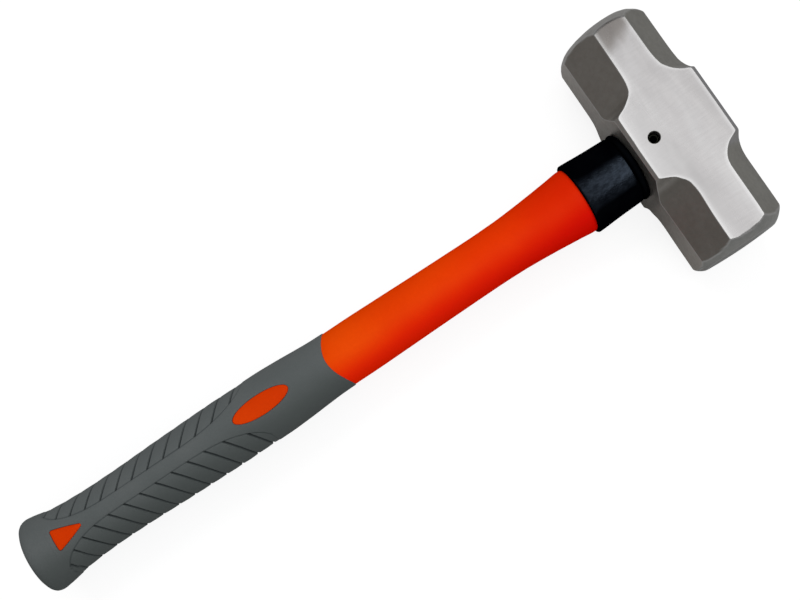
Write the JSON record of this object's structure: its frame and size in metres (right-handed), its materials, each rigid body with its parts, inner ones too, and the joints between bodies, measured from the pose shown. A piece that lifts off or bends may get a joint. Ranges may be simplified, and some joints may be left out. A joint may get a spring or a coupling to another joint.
{
  "type": "sledge hammer",
  "caption": "Short-handled double-faced octagonal sledge hammer with a steel head, moulded fibreglass handle, black collar and grooved rubber grip.",
  "frame": {"origin": "middle of the lower cheek, the flat side of the head that the hammer lies on", "axes": "+X along the handle towards the top of the head, +Y along the head towards one striking face, +Z out of the upper cheek"},
  "size_m": [0.3944, 0.1262, 0.0458],
  "materials": {
    "head_steel": "satin ground steel, clear lacquered",
    "pin_steel": "blackened spring steel",
    "jacket_orange": "semi-gloss moulded orange plastic",
    "collar_black": "satin black moulded rubber-like plastic",
    "washer_black": "matt black rubber",
    "grip_grey": "matt grey thermoplastic rubber",
    "core_fibreglass": "pultruded fibreglass rod",
    "resin_dark": "cast dark epoxy",
    "cap_black": "satin black moulded plastic"
  },
  "bodies": {
    "root": {"hammer_head": "head_steel", "eye_resin": "resin_dark", "eye_cap": "cap_black", "cross_pin": "pin_steel", "fibreglass_core": "core_fibreglass", "handle_jacket": "jacket_orange", "overstrike_collar": "collar_black", "seal_washer": "washer_black", "grip_sleeve": "grip_grey"}
  },
  "joints": []
}
